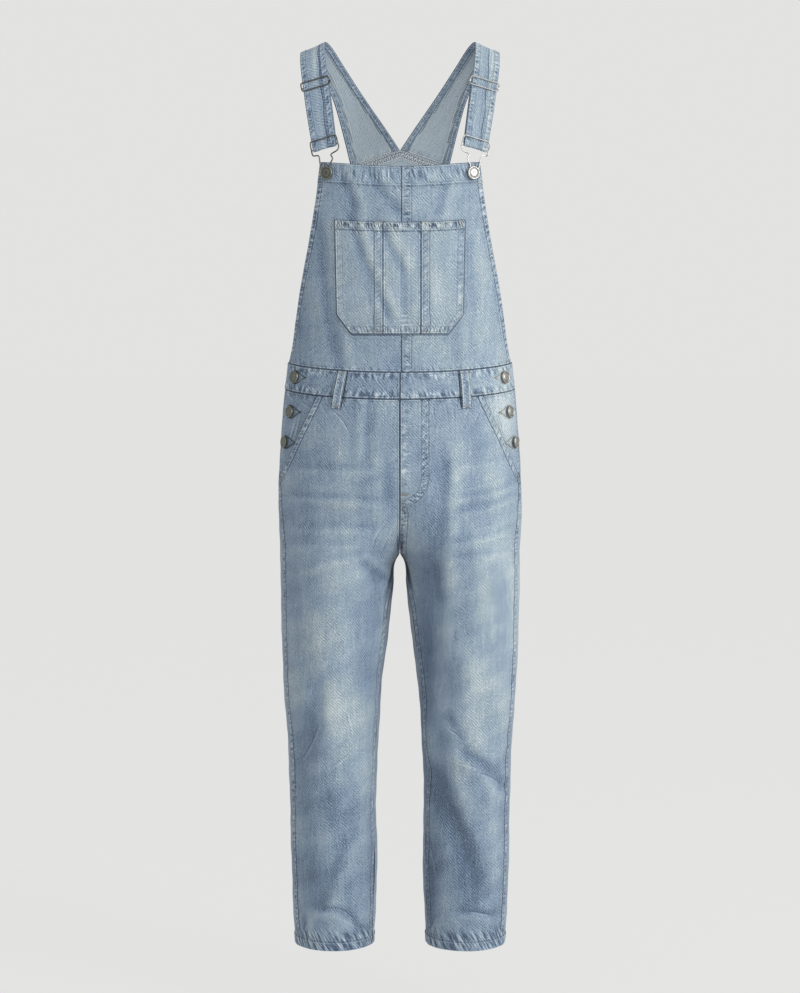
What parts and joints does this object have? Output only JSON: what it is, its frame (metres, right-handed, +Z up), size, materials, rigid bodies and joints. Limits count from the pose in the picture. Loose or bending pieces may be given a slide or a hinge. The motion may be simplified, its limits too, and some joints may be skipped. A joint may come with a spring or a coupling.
{
  "type": "denim dungarees",
  "caption": "Light-wash denim dungarees with bib, chest patch pocket, adjustable straps and side buttons, hollow, in worn form.",
  "frame": {"origin": "midway between the tops of the two shoulder straps", "axes": "+Z up, the garment's height; the front faces -Y; +X towards the wearer's left"},
  "size_m": [0.3644, 0.2392, 1.3512],
  "materials": {
    "denim": "light-wash cotton twill",
    "pewter": "dull pewter plating",
    "steel": "nickel-plated wire"
  },
  "bodies": {
    "root": {"front_leg_left": "denim", "front_leg_right": "denim", "back_leg_left": "denim", "back_leg_right": "denim", "hip_piece_left": "denim", "hip_piece_right": "denim", "waistband_front_left": "denim", "waistband_front_right": "denim", "waistband_back": "denim", "bib_left": "denim", "bib_right": "denim", "chest_pocket_left": "denim", "chest_pocket_centre": "denim", "chest_pocket_right": "denim", "back_panel": "denim", "strap_left": "denim", "strap_right": "denim", "belt_loop_front_left": "denim", "belt_loop_front_right": "denim", "belt_loop_back_left": "denim", "belt_loop_back_centre": "denim", "belt_loop_back_right": "denim", "slider_left": "steel", "slider_right": "steel", "buckle_left": "steel", "buckle_right": "steel", "bib_button_left": "steel", "bib_button_right": "pewter", "side_button_left_1": "pewter", "side_button_left_2": "pewter", "side_button_left_3": "pewter", "side_button_right_1": "pewter", "side_button_right_2": "pewter", "side_button_right_3": "pewter"}
  },
  "joints": []
}
